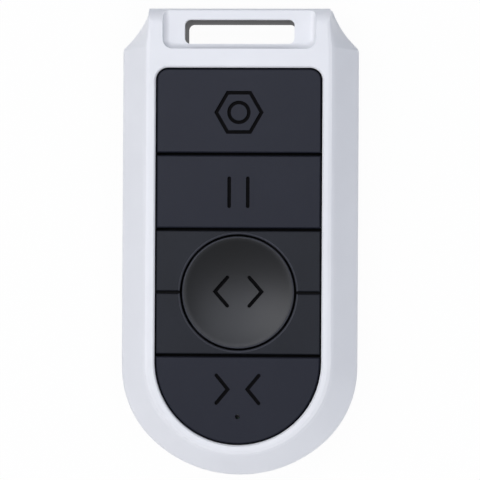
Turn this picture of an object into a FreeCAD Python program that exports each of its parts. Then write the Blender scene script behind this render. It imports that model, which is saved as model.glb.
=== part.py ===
import FreeCAD, Part
import math
import os
import Sketcher

# Gate remote control, lying on its back. X is across, +Y points to the lanyard slot and
# +Z out of the key face. The origin is the centre of the back face.

SIZES = {
    # Case
    "case_length": 80.0,
    "case_width": 40.6,
    "case_thickness": 12.5,
    "parting_height": 5.0,
    "widest_height": 6.0,
    "soft_edge_height": 1.0,
    "soft_edge_inset": 0.35,
    "end_flatness": 1.8,
    "corner_centre": 2.9,
    "bar_side_inset": 4.65,
    "shoulder_drop": 6.85,
    "shoulder_radius": 16.0,
    "shoulder_rounding": 1.6,
    "bar_rounding": 0.7,
    "frame_wall": 1.45,
    "face_plate": 1.4,
    # Front face of the frame
    "face_side_inset": 4.45,
    "face_bar_inset": 4.9,
    "face_top_inset": 0.15,
    "face_bottom_inset": 3.95,
    "face_end_flatness": 0.45,
    "face_corner_centre": 0.85,
    "face_shoulder_radius": 60.0,
    "face_rounding": 0.65,
    "face_rounding_drop": 0.5,
    "nose_length": 3.0,
    "nose_drop": 2.3,
    # Key window
    "window_side_margin": 6.11,
    "window_top_margin": 10.33,
    "window_length": 64.13,
    "window_corner": 2.1,
    "window_bevel": 0.25,
    # Keys and centre panel
    "close_side_length": 1.05,
    "centre_pitch": 21.4,
    "pause_pitch": 12.79,
    "key_gap": 0.25,
    "key_recess": 0.3,
    "key_flange": 0.5,
    "flange_thickness": 0.8,
    "key_floor_gap": 0.6,
    "key_travel": 0.5,
    "key_edge": 0.2,
    "panel_edge": 0.15,
    "key_wall": 1.1,
    "key_skin": 1.1,
    "stem_side": 2.6,
    "close_stem_drop": 5.9,
    "round_key_diameter": 19.0,
    "round_key_gap": 0.4,
    "round_bore_edge": 0.3,
    "dish_depth": 1.3,
    "dish_rim": 0.35,
    "tab_reach": 0.9,
    "tab_width": 3.0,
    "groove_width": 0.45,
    "groove_depth": 0.7,
    "light_hole": 0.8,
    "light_hole_offset": 4.84,
    # Strap slot and recess
    "slot_side_margin": 10.95,
    "slot_height": 4.15,
    "slot_corner": 1.0,
    "slot_top_margin": 2.1,
    "collar_wall": 1.0,
    "recess_side_margin": 7.25,
    "recess_depth": 1.2,
    "recess_lower_margin": 0.9,
    "recess_corner": 1.7,
    "recess_rounding": 1.1,
    # Rear cover
    "rear_floor": 1.4,
    "rear_inset": 1.5,
    "rear_rounding": 1.2,
    "parting_inset": 0.2,
    "lip_height": 1.2,
    "lip_wall": 0.8,
    # Clearances
    "fit_clearance": 0.1,
    "seat_gap": 0.05,
    "slide_clearance": 0.15,
    # Battery and its cap
    "cell_diameter": 20.0,
    "cell_thickness": 3.2,
    "cell_offset": -9.0,
    "cell_edge": 0.4,
    "cell_step": 0.2,
    "cell_step_inset": 1.4,
    "cell_clearance": 0.3,
    "cap_overlap": 1.7,
    "cap_recess": 0.1,
    "cap_edge": 0.2,
    "cap_flange": 1.7,
    "cap_flange_thickness": 0.6,
    "cap_collar_height": 0.9,
    "lug_reach": 1.2,
    "lug_width": 6.0,
    "lug_turn": 45.0,
    "coin_slot_length": 13.0,
    "coin_slot_width": 1.4,
    "coin_slot_depth": 0.6,
    "coin_slot_corner": 0.5,
    # Inner carrier and circuit board
    "chassis_thickness": 0.9,
    "chassis_margin": 1.9,
    "chassis_top_margin": 1.6,
    "chassis_rib": 0.7,
    "board_height": 5.4,
    "board_thickness": 1.0,
    "board_edge_gap": 0.3,
    "board_top_margin": 8.7,
    "board_bottom_margin": 6.4,
    "post_side": 3.0,
    "post_side_margin": 6.1,
    "post_upper_margin": 14.5,
    "post_lower_drop": 2.23,
    "pin_diameter": 1.3,
    "pin_height": 0.9,
    # Screws
    "screw_diameter": 1.7,
    "screw_length": 6.0,
    "screw_head_diameter": 3.2,
    "screw_head_height": 1.1,
    "screw_head_depth": 0.5,
    "screw_boss": 3.6,
    "upper_screw_inset": 6.6,
    "upper_screw_margin": 5.6,
    "lower_screw_margin": 3.7,
    "boss_top": 8.1,
    # Switches and parts on the board
    "switch_side": 4.5,
    "switch_height": 1.6,
    "switch_foot_reach": 0.9,
    "switch_foot_width": 0.6,
    "plunger_side": 2.2,
    "plunger_rise": 0.5,
    "plunger_depth": 0.4,
    "contact_strip": 0.2,
    "contact_width": 4.0,
    "contact_foot": 2.0,
    "led_length": 1.6,
    "led_width": 0.8,
    "led_height": 0.6,
    "controller_length": 5.0,
    "controller_width": 4.4,
    "controller_height": 1.2,
    "radio_side": 4.0,
    "radio_height": 0.9,
    "crystal_length": 3.2,
    "crystal_width": 2.5,
    "crystal_height": 0.8,
    "chip_side_x": 9.5,
    "controller_drop": 16.3,
    "radio_drop": 15.8,
    "crystal_drop": 21.8,
    "capacitor_length": 1.6,
    "capacitor_width": 0.8,
    "capacitor_height": 0.7,
    "capacitor_pitch": 2.2,
    "capacitor_drop": 30.3,
    "antenna_strip": 0.8,
    "antenna_height": 0.5,
    "antenna_side_margin": 8.3,
    "antenna_depth": 3.6,
    "antenna_margin": 0.6,
}

# Share of an inward offset that each shoulder end takes along its own edge line
SHOULDER_TOP_SHARE = 0.73
SHOULDER_SIDE_SHARE = 0.45
# Flats that make up the rounded edge of the back
ROUNDING_STEPS = 2
# Cones that make up the dish of the round key
DISH_STEPS = 3
# Slope of the window's bevel, in degrees
BEVEL_TAPER = -45.0
# How far a cutting profile reaches past the material, in millimetres
OVERSHOOT = 1.0
# Two places nearer than this are the same place, in millimetres
FINE = 0.01

doc = FreeCAD.newDocument("gate_remote")
sheet = doc.addObject("Spreadsheet::Sheet", "sizes")
for row, (alias, number) in enumerate(SIZES.items(), start=1):
    sheet.set(f"A{row}", alias)
    sheet.set(f"B{row}", str(number))
    sheet.setAlias(f"B{row}", alias)
doc.recompute()


class Size:
    """A length that carries its value and the sheet formula that gives it."""

    def __init__(self, value, text):
        self.value = value
        self.text = text

    def join(self, other, sign, value):
        return Size(value, f"({self.text} {sign} {other.text})")

    def __add__(self, other):
        other = as_size(other)
        return self.join(other, "+", self.value + other.value)

    def __sub__(self, other):
        other = as_size(other)
        return self.join(other, "-", self.value - other.value)

    def __mul__(self, other):
        other = as_size(other)
        return self.join(other, "*", self.value * other.value)

    def __truediv__(self, other):
        other = as_size(other)
        return self.join(other, "/", self.value / other.value)

    def __neg__(self):
        return Size(-self.value, f"(0 - {self.text})")

    def root(self):
        return Size(math.sqrt(self.value), f"sqrt({self.text})")


def as_size(number):
    """Wraps a plain number, such as a count or a half, as a Size."""
    if isinstance(number, Size):
        return number
    return Size(float(number), f"({number})")


def size(alias):
    """The Size that is written in the sheet under this alias."""
    return Size(float(SIZES[alias]), "sizes." + alias)


def bind(target, prop, value):
    """Ties a property of a document object to the sheet."""
    target.setExpression(prop, as_size(value).text)


ZERO = Size(0.0, "0")


def plane(body, role):
    for feature in body.Origin.OriginFeatures:
        if feature.Role == role:
            return feature
    raise ValueError("no plane " + role)


def new_body(label):
    body = doc.addObject("PartDesign::Body", label)
    body.Label = label
    return body


def new_sketch(body, height=ZERO, role="XY_Plane", across=ZERO, along=ZERO, turn=0.0):
    """A sketch on one of the body's own planes, lifted along its normal, moved and turned."""
    sketch = body.newObject("Sketcher::SketchObject", "Sketch")
    sketch.AttachmentSupport = [(plane(body, role), "")]
    sketch.MapMode = "FlatFace"
    rotation = FreeCAD.Rotation(FreeCAD.Vector(0, 0, 1), turn)
    sketch.AttachmentOffset = FreeCAD.Placement(FreeCAD.Vector(0, 0, 0), rotation)
    bind(sketch, "AttachmentOffset.Base.x", across)
    bind(sketch, "AttachmentOffset.Base.y", along)
    bind(sketch, "AttachmentOffset.Base.z", height)
    return sketch


def pin(sketch, geometry, position, x, y):
    """Fixes a point of the sketch at x, y from its origin."""
    for kind, value, axis in (("DistanceX", x, -2), ("DistanceY", y, -1)):
        value = as_size(value)
        if value is ZERO or value.text in ("(0)", "(0.0)"):
            sketch.addConstraint(Sketcher.Constraint("PointOnObject", geometry, position, axis))
        else:
            rule = Sketcher.Constraint(kind, -1, 1, geometry, position, value.value)
            index = sketch.addConstraint(rule)
            sketch.setExpression(f"Constraints[{index}]", value.text)


def arc_between(start, end, radius, turn):
    """The arc shorter than a half circle from start to end. turn is 1 anticlockwise, -1 not."""
    middle = (start + end) * 0.5
    chord = end - start
    height = math.sqrt(max(radius * radius - chord.Length * chord.Length / 4.0, 0.0))
    left = FreeCAD.Vector(-chord.y, chord.x, 0)
    left.normalize()
    centre = middle + left * height * turn
    first, last = (start, end) if turn > 0 else (end, start)
    first_angle = math.atan2(first.y - centre.y, first.x - centre.x)
    last_angle = math.atan2(last.y - centre.y, last.x - centre.x)
    circle = Part.Circle(centre, FreeCAD.Vector(0, 0, 1), radius)
    return Part.ArcOfCircle(circle, first_angle, last_angle)


def draw_loop(sketch, corners):
    """Draws a closed loop. Each corner is x, y and, for an arc to the next, radius and turn."""
    points = [FreeCAD.Vector(as_size(c[0]).value, as_size(c[1]).value, 0) for c in corners]
    ends = []
    for i, corner in enumerate(corners):
        start = points[i]
        end = points[(i + 1) % len(points)]
        if len(corner) == 2:
            index = sketch.addGeometry(Part.LineSegment(start, end), False)
            ends.append((index, 1, 2))
        else:
            radius, turn = as_size(corner[2]), corner[3]
            index = sketch.addGeometry(arc_between(start, end, radius.value, turn), False)
            ends.append((index, 1, 2) if turn > 0 else (index, 2, 1))
            rule = sketch.addConstraint(Sketcher.Constraint("Radius", index, radius.value))
            sketch.setExpression(f"Constraints[{rule}]", radius.text)
    for i, corner in enumerate(corners):
        index, first, _ = ends[i]
        before, _, last = ends[i - 1]
        sketch.addConstraint(Sketcher.Constraint("Coincident", before, last, index, first))
        pin(sketch, index, first, corner[0], corner[1])


def draw_circle(sketch, x, y, radius):
    centre = FreeCAD.Vector(as_size(x).value, as_size(y).value, 0)
    circle = Part.Circle(centre, FreeCAD.Vector(0, 0, 1), radius.value)
    index = sketch.addGeometry(circle, False)
    rule = sketch.addConstraint(Sketcher.Constraint("Radius", index, radius.value))
    sketch.setExpression(f"Constraints[{rule}]", radius.text)
    pin(sketch, index, 3, x, y)


def box_loop(left, right, low, high):
    return [(left, low), (right, low), (right, high), (left, high)]


def rounded_box_loop(left, right, low, high, radius):
    return [
        (left + radius, low),
        (right - radius, low, radius, 1),
        (right, low + radius),
        (right, high - radius, radius, 1),
        (right - radius, high),
        (left + radius, high, radius, 1),
        (left, high - radius),
        (left, low + radius, radius, 1),
    ]


def pad(body, sketch, length, down=False):
    feature = body.newObject("PartDesign::Pad", "Pad")
    feature.Profile = sketch
    feature.Reversed = down
    bind(feature, "Length", length)
    return feature


def pocket(body, sketch, depth, up=False):
    """Cuts from the sketch downwards, or upwards."""
    feature = body.newObject("PartDesign::Pocket", "Pocket")
    feature.Profile = sketch
    feature.Reversed = up
    bind(feature, "Length", depth)
    return feature


def loft(body, sketches, kind="PartDesign::AdditiveLoft"):
    feature = body.newObject(kind, "Loft")
    feature.Profile = sketches[0]
    feature.Sections = sketches[1:]
    feature.Ruled = True
    return feature


def edges_where(shape, test):
    return [f"Edge{i}" for i, edge in enumerate(shape.Edges, start=1) if test(edge)]


def dress(body, kind, prop, value, test):
    """Rounds or bevels the edges of the body's tip that pass the test."""
    doc.recompute()
    base = body.Tip
    names = edges_where(base.Shape, test)
    feature = body.newObject(kind, "Dress")
    feature.Base = (base, names)
    bind(feature, prop, value)
    doc.recompute()
    return feature


def fillet(body, radius, test):
    return dress(body, "PartDesign::Fillet", "Radius", radius, test)


def chamfer(body, width, test):
    return dress(body, "PartDesign::Chamfer", "Size", width, test)


def flat_at(edge, height):
    """True where the whole edge lies at this height."""
    box = edge.BoundBox
    return abs(box.ZMin - height.value) < FINE and abs(box.ZMax - height.value) < FINE


# Places shared by several pieces
half_length = size("case_length") / 2
half_width = size("case_width") / 2
corner_radius = half_width - size("corner_centre")
corner_start = half_width - size("end_flatness")
thickness = size("case_thickness")
soft_top = size("widest_height") + size("soft_edge_height")
ceiling = thickness - size("face_plate")
window_half = half_width - size("window_side_margin")
window_top = half_length - size("window_top_margin")
window_bottom = window_top - size("window_length")
window_arc_y = window_bottom + window_half
centre_end = window_arc_y + size("close_side_length")
pause_end = centre_end + size("centre_pitch")
settings_end = pause_end + size("pause_pitch")
round_y = (pause_end + centre_end) / 2
key_top = thickness - size("key_recess")
flange_top = ceiling - size("fit_clearance")
flange_base = flange_top - size("flange_thickness")
chassis_top = flange_base - size("key_floor_gap")
chassis_base = chassis_top - size("chassis_thickness")
board_top_face = size("board_height") + size("board_thickness")
switch_top = board_top_face + size("switch_height")
plunger_top = switch_top + size("plunger_rise")
slot_high = half_length - size("slot_top_margin")
slot_low = slot_high - size("slot_height")
slot_half = half_width - size("slot_side_margin")
recess_floor = thickness - size("recess_depth")
recess_ceiling = recess_floor - size("face_plate")
cell_y = size("cell_offset")
cell_radius = size("cell_diameter") / 2
cap_radius = cell_radius + size("cap_overlap")
lug_radius = cap_radius + size("lug_reach")
cell_bore = cell_radius + size("cell_clearance")
board_top = half_length - size("board_top_margin")
settings_y = (window_top + settings_end) / 2
pause_y = (settings_end + pause_end) / 2
close_y = centre_end - size("close_stem_drop")
light_y = window_bottom + size("light_hole_offset")


class Outline:
    """The case outline at one level: bar, hollow shoulders, straight sides, round end."""

    def __init__(self, half, bar, top, shoulder, shoulder_radius, side_end, corner, bottom):
        self.values = [half, bar, top, shoulder, shoulder_radius, side_end, corner, bottom]

    def inset(self, amount):
        """The same outline moved inwards all round."""
        half, bar, top, shoulder, shoulder_radius, side_end, corner, bottom = self.values
        return Outline(
            half - amount,
            bar - amount * SHOULDER_TOP_SHARE,
            top - amount,
            shoulder - amount * SHOULDER_SIDE_SHARE,
            shoulder_radius + amount,
            side_end,
            corner - amount,
            bottom + amount,
        )

    def towards(self, other, share):
        """The outline part of the way to another one."""
        mixed = [a + (b - a) * share for a, b in zip(self.values, other.values)]
        return Outline(*mixed)

    def loop(self):
        half, bar, top, shoulder, shoulder_radius, side_end, corner, bottom = self.values
        rise = side_end - bottom
        reach = half - corner
        end_radius = (reach * reach + rise * rise - corner * corner) / ((rise - corner) * 2)
        share = end_radius / (end_radius - corner)
        end_centre = bottom + end_radius
        meet_x = reach * share
        meet_y = end_centre + (side_end - end_centre) * share
        return [
            (-bar, top, shoulder_radius, -1),
            (-half, shoulder),
            (-half, side_end, corner, 1),
            (-meet_x, meet_y, end_radius, 1),
            (meet_x, meet_y, corner, 1),
            (half, side_end),
            (half, shoulder, shoulder_radius, -1),
            (bar, top),
        ]


case_outline = Outline(
    half_width,
    half_width - size("bar_side_inset"),
    half_length,
    half_length - size("shoulder_drop"),
    size("shoulder_radius"),
    corner_start - half_length,
    corner_radius,
    -half_length,
)
face_half = half_width - size("face_side_inset")
face_bottom = size("face_bottom_inset") - half_length
face_outline = Outline(
    face_half,
    half_width - size("face_bar_inset"),
    half_length - size("face_top_inset"),
    half_length - size("shoulder_drop"),
    size("face_shoulder_radius"),
    face_bottom + face_half - size("face_end_flatness"),
    face_half - size("face_corner_centre"),
    face_bottom,
)


def outline_sketch(body, height, outline):
    sketch = new_sketch(body, height)
    draw_loop(sketch, outline.loop())
    return sketch


def foot_arc(half):
    """The half round foot of the window's outline, at another half width."""
    return [
        (-half, window_arc_y, half, 1),
        (ZERO, window_arc_y - half, half, 1),
        (half, window_arc_y),
    ]


def rounded_head(half, high, corner):
    """The head of the window's outline, with its two round corners."""
    return [
        (half, high - corner, corner, 1),
        (half - corner, high),
        (corner - half, high, corner, 1),
        (-half, high - corner),
    ]


def window_loop(margin, high):
    """The key window's outline, wider by margin on each side, with its head at high."""
    half = window_half + margin
    return foot_arc(half) + rounded_head(half, high, size("window_corner") + margin)


def slot_loop(margin=ZERO):
    """The strap slot's outline, moved outwards by margin."""
    return rounded_box_loop(
        -slot_half - margin,
        slot_half + margin,
        slot_low - margin,
        slot_high + margin,
        size("slot_corner") + margin,
    )


def upright(edge):
    """True for a straight edge along Z."""
    box = edge.BoundBox
    return box.ZLength > FINE and box.XLength < FINE and box.YLength < FINE


def rounded_block(body, base, height):
    """A block of the case outline with its bar ends and shoulder corners rounded."""
    pad(body, outline_sketch(body, base, case_outline), height)
    bar_line = half_length.value - FINE
    fillet(body, size("bar_rounding"), lambda e: upright(e) and e.BoundBox.YMin > bar_line)
    shoulder = half_length - size("shoulder_drop")
    fillet(
        body,
        size("shoulder_rounding"),
        lambda e: upright(e) and abs(e.BoundBox.YMin - shoulder.value) < FINE,
    )


def combine(body, form, kind):
    """Keeps what lies inside another body, kind Common, or what lies outside it, kind Cut."""
    feature = body.newObject("PartDesign::Boolean", kind)
    feature.setObjects([form])
    feature.Type = kind
    doc.recompute()


def screw_places():
    """The three housing screws: one beside each end of the slot, one at the round end."""
    upper_y = half_length - size("upper_screw_margin")
    lower_y = size("lower_screw_margin") - half_length
    upper_x = half_width - size("upper_screw_inset")
    return [(-upper_x, upper_y), (upper_x, upper_y), (ZERO, lower_y)]


def post_places():
    """Where the circuit board rests on the rear cover: two at the top, two lower down."""
    post_x = half_width - size("post_side_margin")
    upper_y = half_length - size("post_upper_margin")
    lower_y = window_arc_y - size("post_lower_drop")
    return [(-post_x, upper_y), (post_x, upper_y), (-post_x, lower_y), (post_x, lower_y)]


def pin_places():
    """The two opposite posts whose pins locate the board."""
    places = post_places()
    return [places[0], places[3]]


def circles(body, height, places, radius):
    sketch = new_sketch(body, height)
    for x, y in places:
        draw_circle(sketch, x, y, radius)
    return sketch


def squares(body, height, places, half):
    sketch = new_sketch(body, height)
    for x, y in places:
        draw_loop(sketch, box_loop(x - half, x + half, y - half, y + half))
    return sketch


def make_front_frame():
    """The white moulded frame: sloped flanks, key window, strap recess and screw bosses."""
    parting = size("parting_height")
    wall = size("frame_wall")
    soft_outline = case_outline.inset(size("soft_edge_inset"))
    flank_height = thickness - soft_top
    drop = size("face_rounding_drop")
    rim_outline = soft_outline.towards(face_outline, (flank_height - drop) / flank_height)
    flat_outline = face_outline.inset(size("face_rounding"))
    bulge = (flank_height - drop / 4) / flank_height
    middle_outline = soft_outline.towards(face_outline, bulge).inset(size("face_rounding") / 4)
    form = new_body("frame_form")
    sections = [
        (parting, case_outline),
        (size("widest_height"), case_outline),
        (soft_top, soft_outline),
        (thickness - drop, rim_outline),
        (thickness - drop / 4, middle_outline),
        (thickness, flat_outline),
    ]
    loft(form, [outline_sketch(form, height, outline) for height, outline in sections])
    body = new_body("front_frame")
    rounded_block(body, parting, thickness - parting)
    combine(body, form, "Common")

    # The bar that the strap pulls on rolls down to the top edge
    length = size("nose_length")
    nose_drop = size("nose_drop")
    nose_start = half_length - length
    nose_end = thickness - nose_drop
    nose = new_sketch(body, role="YZ_Plane")
    radius = (length * length + nose_drop * nose_drop) / (nose_drop * 2)
    beyond = half_length + OVERSHOOT
    above = thickness + OVERSHOOT
    draw_loop(nose, [
        (nose_start, thickness, radius, -1),
        (half_length, nose_end),
        (beyond, nose_end),
        (beyond, above),
        (nose_start, above),
    ])
    nose_cut = body.newObject("PartDesign::Pocket", "NoseCut")
    nose_cut.Profile = nose
    nose_cut.Midplane = True
    bind(nose_cut, "Length", size("case_width") + OVERSHOOT)

    # The hollow behind the face
    share = (ceiling - soft_top) / (thickness - soft_top)
    ceiling_outline = soft_outline.towards(face_outline, share)
    lip_room = parting + size("lip_height") + size("fit_clearance")
    hollow = [
        (parting, case_outline),
        (lip_room, case_outline),
        (ceiling, ceiling_outline),
    ]
    hollow_sketches = [outline_sketch(body, z, outline.inset(wall)) for z, outline in hollow]
    loft(body, hollow_sketches, "PartDesign::SubtractiveLoft")

    # A thicker plate behind the strap recess, and the screw bosses
    recess_half = half_width - size("recess_side_margin")
    recess_low = slot_low - size("recess_lower_margin")
    backing = new_sketch(body, recess_ceiling)
    draw_loop(backing, box_loop(
        -recess_half - wall / 2,
        recess_half + wall / 2,
        recess_low - wall,
        half_length - wall,
    ))
    pad(body, backing, ceiling - recess_ceiling)
    collar_room = new_sketch(body, parting)
    draw_loop(collar_room, slot_loop(size("collar_wall") + size("fit_clearance")))
    pocket(body, collar_room, recess_ceiling - parting, up=True)
    boss_half = size("screw_boss") / 2
    places = screw_places()
    pad(body, squares(body, parting, places[:2], boss_half), ceiling - parting)
    pad(body, squares(body, parting, places[2:], boss_half), size("boss_top") - parting)
    pilot = size("screw_diameter") / 2 + size("seat_gap")
    screw_tip = size("screw_head_depth") + size("screw_head_height") + size("screw_length")
    pilot_depth = screw_tip + size("fit_clearance") - parting
    pocket(body, circles(body, parting, places, pilot), pilot_depth, up=True)

    # Window, recess and slot
    bevel = size("window_bevel")
    window_edge = new_sketch(body, thickness)
    draw_loop(window_edge, window_loop(bevel, window_top + bevel))
    pocket(body, window_edge, bevel).TaperAngle = BEVEL_TAPER
    window = new_sketch(body, thickness)
    draw_loop(window, window_loop(ZERO, window_top))
    pocket(body, window, thickness - parting)
    combine(body, make_recess_form(recess_half, recess_low, beyond, above), "Cut")
    slot = new_sketch(body, thickness)
    draw_loop(slot, slot_loop())
    pocket(body, slot, thickness - parting)
    return body


def make_recess_form(half, low, beyond, above):
    """What the strap recess takes out of the face: its walls curve into its floor."""
    form = new_body("recess_form")
    corner = size("recess_corner")
    outline = new_sketch(form, recess_floor)
    draw_loop(outline, [
        (half, beyond),
        (-half, beyond),
        (-half, low + corner, corner, 1),
        (corner - half, low),
        (half - corner, low, corner, 1),
        (half, low + corner),
    ])
    pad(form, outline, above - recess_floor)
    end = half_length.value
    fillet(
        form,
        size("recess_rounding"),
        lambda e: flat_at(e, recess_floor) and e.BoundBox.YMin < end,
    )
    return form


def make_rear_cover():
    """The back: a tray with a lip, slot collar, battery hole, board and screw posts."""
    parting = size("parting_height")
    floor = size("rear_floor")
    inner_inset = size("frame_wall") + size("fit_clearance")
    form = new_body("rear_form")
    rounding = size("rear_rounding")
    sections = []
    for step in range(ROUNDING_STEPS + 1):
        angle = math.pi / 2 * step / ROUNDING_STEPS
        height = rounding * (1 - math.cos(angle))
        inset = size("rear_inset") + rounding * (1 - math.sin(angle))
        sections.append((height, case_outline.inset(inset)))
    sections.append((parting, case_outline.inset(size("parting_inset"))))
    loft(form, [outline_sketch(form, height, outline) for height, outline in sections])
    body = new_body("rear_cover")
    rounded_block(body, ZERO, parting)
    combine(body, form, "Common")
    hollow_outline = case_outline.inset(inner_inset + size("lip_wall"))
    pocket(body, outline_sketch(body, parting, hollow_outline), parting - floor)

    # The lip that enters the frame, cut clear of the frame's screw bosses
    lip = outline_sketch(body, parting, case_outline.inset(inner_inset))
    draw_loop(lip, hollow_outline.loop())
    pad(body, lip, size("lip_height"))
    boss_half = size("screw_boss") / 2
    clear = squares(body, parting, screw_places(), boss_half + size("fit_clearance"))
    pocket(body, clear, size("lip_height"), up=True)

    # Slot collar, screw posts, and board posts with their pins
    collar = new_sketch(body, floor)
    draw_loop(collar, slot_loop(size("collar_wall")))
    pad(body, collar, recess_ceiling - size("seat_gap") - floor)
    pad(body, squares(body, floor, screw_places(), boss_half), parting - floor)
    posts = squares(body, floor, post_places(), size("post_side") / 2)
    pad(body, posts, size("board_height") - floor)
    pins = circles(body, size("board_height"), pin_places(), size("pin_diameter") / 2)
    pad(body, pins, size("pin_height"))

    # Battery hole with a notch for each lug of the cap, and the seat of its flange
    hole_radius = cap_radius + size("slide_clearance")
    pocket(body, circles(body, floor, [(ZERO, cell_y)], hole_radius), floor)
    flange_radius = cap_radius + size("cap_flange") + size("slide_clearance")
    seat_depth = size("cap_recess") + size("cap_flange_thickness") + size("seat_gap")
    pocket(body, circles(body, ZERO, [(ZERO, cell_y)], flange_radius), seat_depth, up=True)
    notch = lug_sketch(body, floor, size("slide_clearance"), size("lug_turn").value)
    notch_cut = pocket(body, notch, floor)
    around(body, notch_cut, notch, 3)

    # Strap slot and screw holes
    slot = new_sketch(body)
    draw_loop(slot, slot_loop())
    pocket(body, slot, thickness, up=True)
    shank = size("screw_diameter") / 2 + size("seat_gap")
    pocket(body, circles(body, ZERO, screw_places(), shank), parting, up=True)
    head = size("screw_head_diameter") / 2 + size("fit_clearance")
    head_depth = size("screw_head_depth") + size("screw_head_height")
    pocket(body, circles(body, ZERO, screw_places(), head), head_depth, up=True)
    return body


def lug_sketch(body, height, margin=ZERO, turn=0.0):
    """One bayonet lug of the battery cap in plan, its outer side an arc about the cap."""
    sketch = new_sketch(body, height, along=cell_y, turn=turn)
    half = size("lug_width") / 2 + margin
    reach = lug_radius + margin
    corner_x = (reach * reach - half * half).root()
    draw_loop(sketch, [
        (cell_radius, -half),
        (corner_x, -half, reach, 1),
        (corner_x, half),
        (cell_radius, half),
    ])
    return sketch


def around(body, feature, sketch, count):
    """Repeats a feature about the axis that stands on its sketch's origin."""
    pattern = body.newObject("PartDesign::PolarPattern", "Around")
    pattern.Originals = [feature]
    pattern.Axis = (sketch, ["N_Axis"])
    pattern.Angle = 360.0
    pattern.Occurrences = count
    body.Tip = pattern
    doc.recompute()
    return pattern


def make_battery_cap():
    """The round cap that turns in the back and holds by three lugs."""
    body = new_body("battery_cap")
    base = size("cap_recess")
    floor = size("rear_floor")
    middle = [(ZERO, cell_y)]
    flange = circles(body, base, middle, cap_radius + size("cap_flange"))
    pad(body, flange, size("cap_flange_thickness"))
    chamfer(body, size("cap_edge"), lambda e: flat_at(e, base))
    pad(body, circles(body, base, middle, cap_radius), floor - base)
    ring = circles(body, floor, middle, cap_radius)
    draw_circle(ring, ZERO, cell_y, cell_bore)
    pad(body, ring, size("cap_collar_height"))
    lug_base = floor + size("fit_clearance")
    lug_cut = size("cap_collar_height") - size("fit_clearance")
    lug_profile = lug_sketch(body, lug_base)
    lug = pad(body, lug_profile, lug_cut)
    around(body, lug, lug_profile, 3)
    pocket(body, circles(body, floor, middle, cell_bore), size("cap_collar_height"), up=True)
    half_coin = size("coin_slot_length") / 2
    half_coin_width = size("coin_slot_width") / 2
    coin = new_sketch(body, base, along=cell_y)
    draw_loop(coin, rounded_box_loop(
        -half_coin,
        half_coin,
        -half_coin_width,
        half_coin_width,
        size("coin_slot_corner"),
    ))
    pocket(body, coin, size("coin_slot_depth"), up=True)
    return body


def key_stem(body, y, top):
    """The post under a key that presses its switch."""
    stem = squares(body, plunger_top, [(ZERO, y)], size("stem_side") / 2)
    pad(body, stem, top - plunger_top)


def key_outline(side, low, high, top_round=False, foot_round=False):
    """A key's outline in plan, wider than the window by side at both sides."""
    half = window_half + side
    foot = foot_arc(half) if foot_round else [(-half, low), (half, low)]
    head = [(half, high), (-half, high)]
    if top_round:
        head = rounded_head(half, high, size("window_corner") + side)
    return foot + head


def make_bar_key(label, low, high, stem_y, top_round=False, foot_round=False):
    """A key that fills the window from side to side: cap, flange, hollow and stem."""
    body = new_body(label)
    gap = size("key_gap")
    flange = size("key_flange")
    wall = size("key_wall")
    flange_high = high + flange + gap if top_round else high
    flange_sketch = new_sketch(body, flange_base)
    draw_loop(flange_sketch, key_outline(flange, low, flange_high, top_round, foot_round))
    pad(body, flange_sketch, size("flange_thickness"))
    cap_sketch = new_sketch(body, flange_base)
    draw_loop(cap_sketch, key_outline(-gap, low, high, top_round, foot_round))
    pad(body, cap_sketch, key_top - flange_base)
    hollow_sketch = new_sketch(body, flange_base)
    hollow = key_outline(-gap - wall, low + wall, high - wall)
    if foot_round:
        hollow = foot_arc(window_half - gap - wall)
    draw_loop(hollow_sketch, hollow)
    skin_base = key_top - size("key_skin")
    pocket(body, hollow_sketch, skin_base - flange_base, up=True)
    key_stem(body, stem_y, skin_base)
    chamfer(body, size("key_edge"), lambda e: flat_at(e, key_top))
    return body


def make_keys():
    gap = size("key_gap")
    keys = [
        make_bar_key("settings_key", settings_end + gap, window_top - gap, settings_y, True),
        make_bar_key("pause_key", pause_end + gap, settings_end - gap, pause_y),
        make_bar_key("close_key", window_bottom, centre_end - gap, close_y, foot_round=True),
        make_open_key(),
    ]
    close_key = keys[2]
    pinhole = circles(close_key, key_top, [(ZERO, light_y)], size("light_hole") / 2)
    pocket(close_key, pinhole, key_top - flange_base)
    return keys


def make_open_key():
    """The dished round key, turned about its own axis, with four tabs under the panel."""
    body = new_body("open_key")
    radius = size("round_key_diameter") / 2
    edge = size("key_edge")
    rim = radius - size("dish_rim")
    depth = size("dish_depth")
    dish_radius = (rim * rim + depth * depth) / (depth * 2)
    dish_centre = key_top - depth + dish_radius
    dish = []
    for step in range(DISH_STEPS - 1, 0, -1):
        reach = rim * step / DISH_STEPS
        drop = (dish_radius * dish_radius - reach * reach).root()
        dish.append((reach, dish_centre - drop))
    profile = new_sketch(body, -round_y, role="XZ_Plane")
    draw_loop(profile, [
        (ZERO, flange_base),
        (radius, flange_base),
        (radius, key_top - edge),
        (radius - edge, key_top),
        (rim, key_top),
        *dish,
        (ZERO, key_top - depth),
    ])
    turned = body.newObject("PartDesign::Revolution", "Turned")
    turned.Profile = profile
    turned.ReferenceAxis = (profile, ["V_Axis"])
    turned.Angle = 360.0
    doc.recompute()
    tab_profile = tab_sketch(body, flange_base, size("tab_reach"), ZERO)
    tab = pad(body, tab_profile, size("flange_thickness"))
    around(body, tab, tab_profile, 4)
    key_stem(body, round_y, flange_base)
    return body


def tab_sketch(body, height, reach, margin):
    """One tab of the round key, or the pocket for it, on the diagonal."""
    sketch = new_sketch(body, height, along=round_y, turn=45.0)
    radius = size("round_key_diameter") / 2
    half = size("tab_width") / 2 + margin
    draw_loop(sketch, box_loop(radius / 2, radius + reach, -half, half))
    return sketch


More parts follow.
